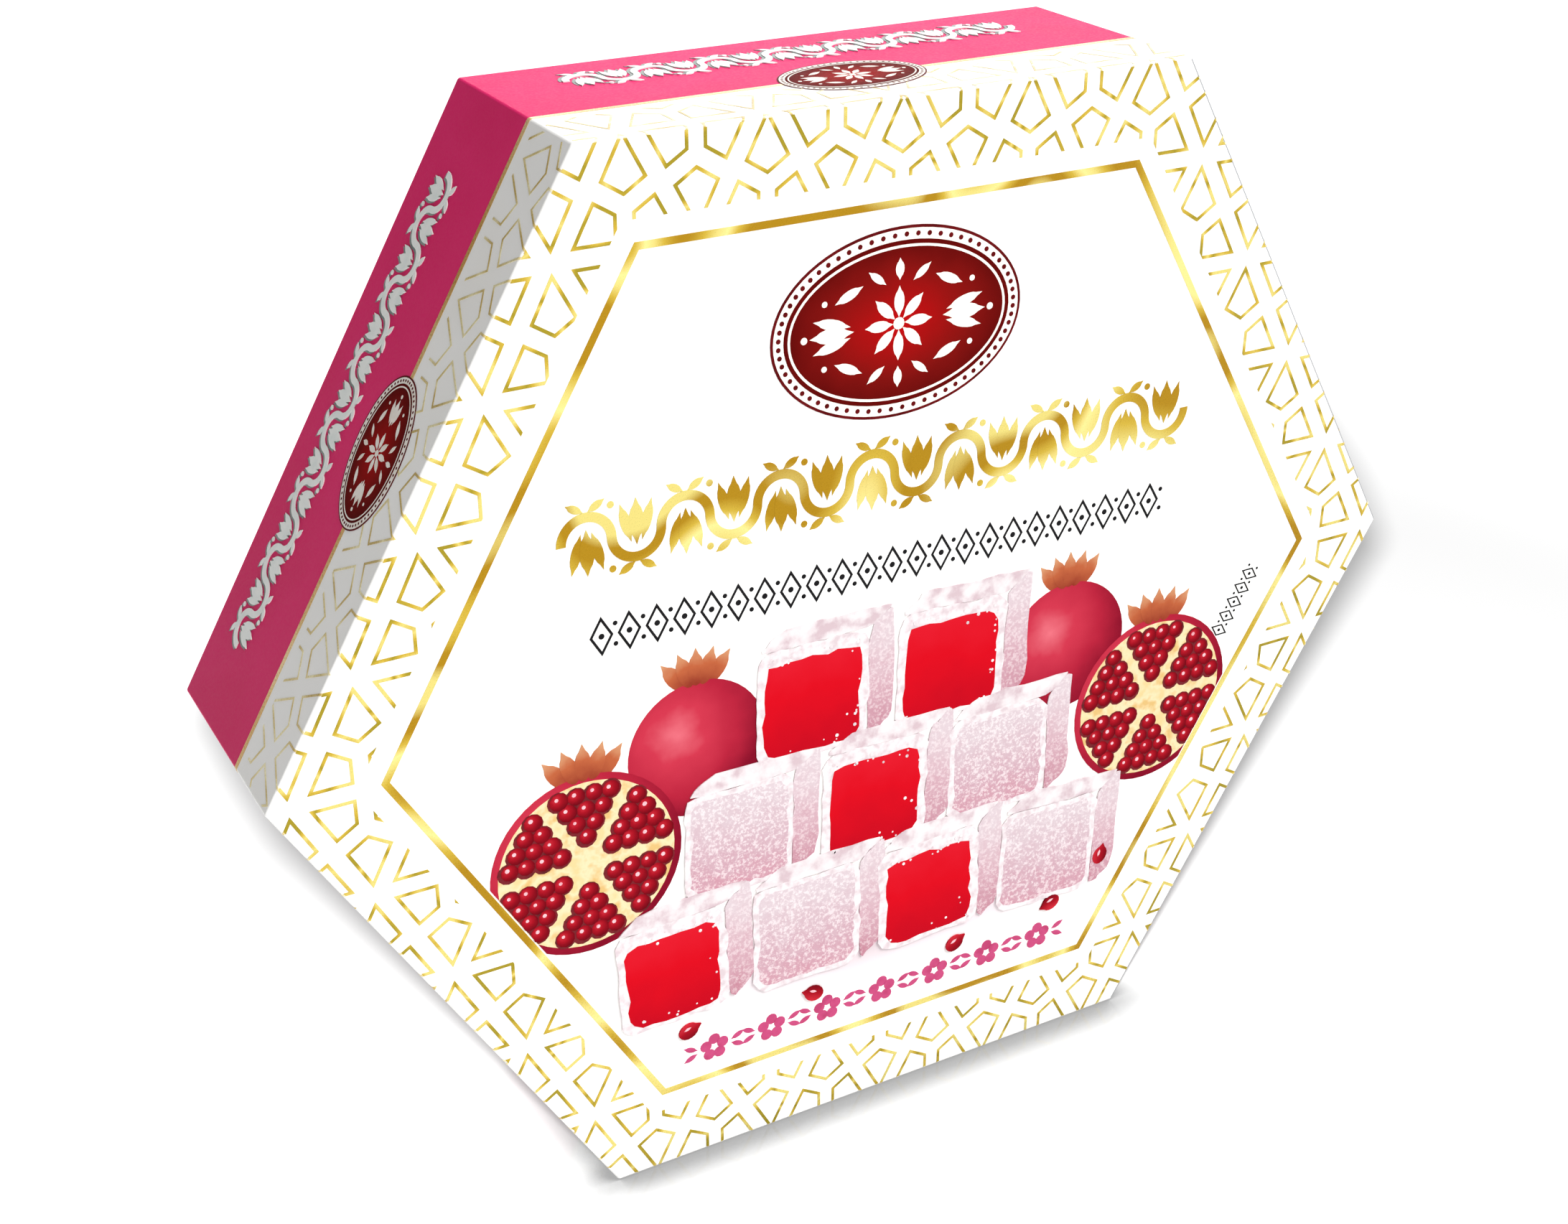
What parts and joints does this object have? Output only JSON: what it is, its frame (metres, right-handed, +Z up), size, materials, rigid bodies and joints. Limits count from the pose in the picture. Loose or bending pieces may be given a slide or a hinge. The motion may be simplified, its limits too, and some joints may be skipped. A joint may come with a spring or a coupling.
{
  "type": "hexagonal confectionery carton",
  "caption": "Shut hexagonal carton of soft sugar sweets, standing on one side panel, white with gold lattice and a pink rear band.",
  "frame": {"origin": "middle of the flat side panel that the carton stands on, half way between its front and back panels", "axes": "+Z up, +X along the panel it stands on, to the right as seen from the front, and -Y out of the printed front panel"},
  "size_m": [0.1798, 0.036, 0.1559],
  "materials": {
    "printed_board": "satin",
    "gold_foil": "satin",
    "coloured_print": "satin"
  },
  "bodies": {
    "root": {"carton": "printed_board"}
  },
  "joints": []
}
